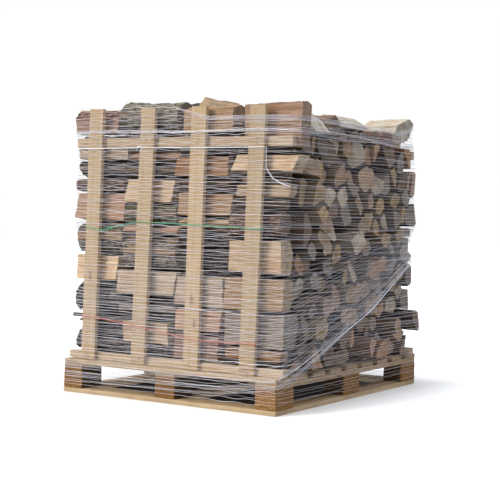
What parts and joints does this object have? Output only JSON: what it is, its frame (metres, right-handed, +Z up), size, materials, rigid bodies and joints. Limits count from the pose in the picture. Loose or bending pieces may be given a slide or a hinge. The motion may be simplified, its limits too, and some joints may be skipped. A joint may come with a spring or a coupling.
{
  "type": "palletised firewood bundle",
  "caption": "Split firewood stacked in rows on a block pallet, held between slatted side frames and wrapped in netting with coloured twine.",
  "frame": {"origin": "middle of the pallet's underside, on the ground", "axes": "+Z up, +X along the front slatted frame towards the corner where logs stand out most, +Y from the front frame to the back frame"},
  "size_m": [1.0752, 1.2, 1.1864],
  "materials": {
    "pallet_board": "rough sawn softwood board",
    "pressed_wood_block": "pressed chip block, brown",
    "frame_timber": "planed pale pine lath",
    "split_logs": "split faces, bark and sawn ends",
    "top_logs": "split faces, bark and sawn ends",
    "green_twine": "twisted polypropylene twine",
    "pink_twine": "twisted polypropylene twine",
    "white_twine": "twisted polypropylene twine",
    "net": "thin white knitted netting threads"
  },
  "bodies": {
    "root": {"bottom_board_front": "pallet_board", "bottom_board_back": "pallet_board", "bottom_board_left": "pallet_board", "bottom_board_middle": "pallet_board", "bottom_board_right": "pallet_board", "block_front_left": "pressed_wood_block", "block_front_middle": "pressed_wood_block", "block_front_right": "pressed_wood_block", "block_mid_left": "pressed_wood_block", "block_mid_middle": "pressed_wood_block", "block_mid_right": "pressed_wood_block", "block_back_left": "pressed_wood_block", "block_back_middle": "pressed_wood_block", "block_back_right": "pressed_wood_block", "stringer_left": "pallet_board", "stringer_middle": "pallet_board", "stringer_right": "pallet_board", "deck_board_1": "pallet_board", "deck_board_2": "pallet_board", "deck_board_3": "pallet_board", "deck_board_4": "pallet_board", "deck_board_5": "pallet_board", "deck_board_6": "pallet_board", "deck_board_7": "pallet_board", "deck_board_8": "pallet_board", "deck_board_9": "pallet_board", "front_slat_1": "frame_timber", "front_slat_2": "frame_timber", "front_slat_3": "frame_timber", "front_slat_4": "frame_timber", "back_slat_1": "frame_timber", "back_slat_2": "frame_timber", "back_slat_3": "frame_timber", "back_slat_4": "frame_timber", "front_rail_top": "frame_timber", "front_rail_bottom": "frame_timber", "back_rail_top": "frame_timber", "back_rail_bottom": "frame_timber", "log_row_1": "split_logs", "log_row_2": "split_logs", "log_row_3": "split_logs", "log_row_4": "split_logs", "top_log_1": "top_logs", "top_log_2": "top_logs", "top_log_3": "top_logs", "top_log_4": "top_logs", "top_log_5": "top_logs", "top_log_6": "top_logs", "top_log_7": "top_logs", "top_log_8": "top_logs", "top_log_9": "top_logs", "top_log_10": "top_logs", "top_log_11": "top_logs", "top_log_12": "top_logs", "top_log_13": "top_logs", "top_log_14": "top_logs", "green_twine": "green_twine", "pink_twine": "pink_twine", "white_twine": "white_twine", "net_wrap": "net"}
  },
  "joints": []
}
